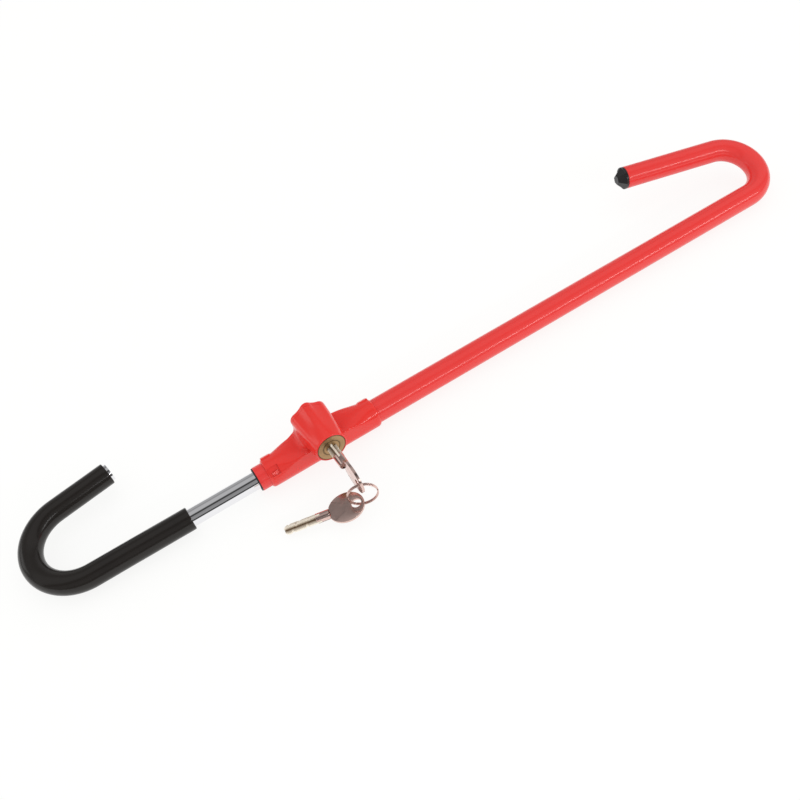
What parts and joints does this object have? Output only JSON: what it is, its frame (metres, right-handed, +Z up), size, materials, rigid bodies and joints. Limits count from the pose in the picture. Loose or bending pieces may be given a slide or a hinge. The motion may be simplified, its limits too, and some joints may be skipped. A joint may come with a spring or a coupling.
{
  "type": "steering wheel lock",
  "caption": "Telescoping hook lock with a coated hooked tube, a chrome rod with a sleeved hook, and a keyed barrel lock that bolts the rod in place.",
  "frame": {"origin": "on the flat underside of the lock housing, below the lock barrel's axis", "axes": "+X along the tube towards its hook, +Y towards the hooks' side and away from the keyhole, +Z up from the underside to the lock barrel"},
  "size_m": [0.5826, 0.1319, 0.04],
  "materials": {
    "red_paint": "glossy red powder coat over steel tube",
    "red_shell": "glossy red moulded shell",
    "chrome": "bright chrome plate",
    "black_vinyl": "glossy black dipped vinyl",
    "black_cap": "black moulded cap",
    "dark_bush": "dark low friction plastic",
    "brass": "turned brass",
    "nickel": "nickel plated brass and steel, slightly warm",
    "zinc_steel": "zinc plated steel",
    "spring_steel": "drawn spring wire"
  },
  "bodies": {
    "tube": {"outer_tube": "red_paint", "hook_end_cap": "black_cap", "mouth_bush": "dark_bush", "rod_stop_ring": "zinc_steel", "lock_block": "zinc_steel", "weld_beads": "zinc_steel", "spring_cap_screw": "zinc_steel", "cylinder_shell": "brass", "driver_pins": "brass", "pin_springs": "spring_steel", "cylinder_grub_screw": "zinc_steel", "bolt_spring": "spring_steel", "front_cover": "red_shell", "rear_cover": "red_shell", "cover_screws": "zinc_steel"},
    "rod": {"slide_rod": "chrome", "hook_sleeve": "black_vinyl", "rod_stop_collar": "zinc_steel", "rod_stop_pin": "zinc_steel"},
    "plug": {"cylinder_plug": "brass", "key_pins": "brass", "plug_cam": "zinc_steel", "cam_screw": "zinc_steel"},
    "bolt": {"locking_bolt": "zinc_steel"},
    "key": {"key_shank": "nickel", "key_bow": "nickel"},
    "ring": {"split_ring": "nickel"},
    "spare_key": {"spare_key_shank": "nickel", "spare_key_bow": "nickel"}
  },
  "joints": [
    {"name": "rod_slide", "type": "slide", "parent": "tube", "child": "rod", "axis": [-1, 0, 0], "range_m": [-0.0448, 0.1792]},
    {"name": "key_turn", "type": "hinge", "parent": "tube", "child": "plug", "pos_m": [0, -0.0215, 0.0268], "axis": [0, 1, 0], "range_deg": [0, 90]},
    {"name": "bolt_slide", "type": "slide", "parent": "tube", "child": "bolt", "axis": [0, 0, -1], "range_m": [0, 0.00213], "deforming": ["bolt_spring"]},
    {"name": "key_withdraw", "type": "slide", "parent": "plug", "child": "key", "axis": [0, -1, 0], "range_m": [0, 0.013]},
    {"name": "ring_swing", "type": "hinge", "parent": "key", "child": "ring", "pos_m": [0, -0.055, 0.0251], "axis": [0.944, -0.33, 0], "range_deg": [-12, 12]},
    {"name": "spare_key_swing", "type": "hinge", "parent": "ring", "child": "spare_key", "pos_m": [-0.00558, -0.05305, 0.00885], "axis": [0.7231, -0.2528, -0.6428], "range_deg": [-8, 8]}
  ],
  "couplings": [
    {"joint": "bolt_slide", "follows": "key_turn", "m_per_rad": 0.0013504}
  ]
}
